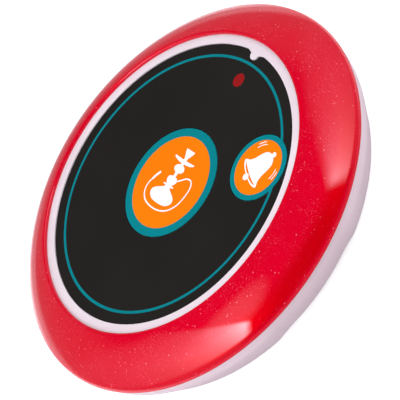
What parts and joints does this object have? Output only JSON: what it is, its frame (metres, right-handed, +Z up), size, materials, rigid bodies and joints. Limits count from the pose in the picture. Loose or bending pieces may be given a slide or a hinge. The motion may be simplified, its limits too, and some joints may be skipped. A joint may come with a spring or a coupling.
{
  "type": "waiter call button",
  "caption": "Round tabletop call button: white twist-lock shells, glossy domed red ring, black printed face with a large and a small round key and a small light.",
  "frame": {"origin": "on the table, under the middle of the round button", "axes": "+Z up out of the printed face, +Y from the large key to the status light, +X to the finger recess on the side of the small key"},
  "size_m": [0.0862, 0.0862, 0.0179],
  "materials": {
    "white_plastic": "moulded ABS, glossy, faintly lavender white",
    "red_plastic": "glossy clear red plastic with fine glitter",
    "printed_film": "black printed film, satin",
    "orange_film": "orange printed film with a teal border, satin",
    "red_window": "tinted window film, dark red",
    "led_resin": "tinted clear resin",
    "tinned_steel": "tinned wire and sheet",
    "board_laminate": "green solder mask on glass-fibre laminate",
    "screw_steel": "zinc-plated steel",
    "battery_jacket": "plain dark jacket on a steel can",
    "spring_steel": "nickel-plated spring wire",
    "contact_steel": "nickel-plated sheet",
    "copper_wire": "enamelled copper wire",
    "black_epoxy": "moulded black epoxy",
    "resonator_can": "gold-washed steel can",
    "ferrite": "dark ferrite drum",
    "chip_ceramic": "ceramic chip bodies",
    "black_nylon": "black nylon",
    "rubber_black": "matt black rubber"
  },
  "bodies": {
    "base": {"base_cup": "white_plastic", "rubber_feet": "rubber_black"},
    "housing": {"top_housing": "white_plastic", "accent_ring": "red_plastic", "face_overlay": "printed_film", "led_window": "red_window", "status_led": "led_resin", "led_legs": "tinned_steel", "circuit_board": "board_laminate", "board_screws": "screw_steel", "battery": "battery_jacket", "battery_spring": "spring_steel", "negative_contact": "contact_steel", "positive_contact": "contact_steel", "antenna": "copper_wire", "encoder_chip": "black_epoxy", "rf_transistor": "black_epoxy", "chip_leads": "tinned_steel", "saw_resonator": "resonator_can", "loading_coil": "ferrite", "chip_parts": "chip_ceramic", "large_switch_body": "black_nylon", "large_switch_cover": "contact_steel", "large_switch_legs": "tinned_steel", "large_switch_dome": "spring_steel", "small_switch_body": "black_nylon", "small_switch_cover": "contact_steel", "small_switch_legs": "tinned_steel", "small_switch_dome": "spring_steel"},
    "large_key": {"large_keycap": "white_plastic", "large_key_film": "orange_film", "large_switch_plunger": "black_nylon"},
    "small_key": {"small_keycap": "white_plastic", "small_key_film": "orange_film", "small_switch_plunger": "black_nylon"}
  },
  "joints": [
    {"name": "housing_turn", "type": "hinge", "parent": "base", "child": "housing", "pos_m": [0, 0, 0.0063], "axis": [0, 0, 1], "range_deg": [0, 15]},
    {"name": "large_key_press", "type": "slide", "parent": "housing", "child": "large_key", "axis": [0, 0, -1], "range_m": [0, 0.0005], "stiffness_N_per_m": 1500, "springref_m": -0.0005, "deforming": ["large_switch_dome"]},
    {"name": "small_key_press", "type": "slide", "parent": "housing", "child": "small_key", "axis": [0, 0, -1], "range_m": [0, 0.0005], "stiffness_N_per_m": 1500, "springref_m": -0.0005, "deforming": ["small_switch_dome"]}
  ]
}
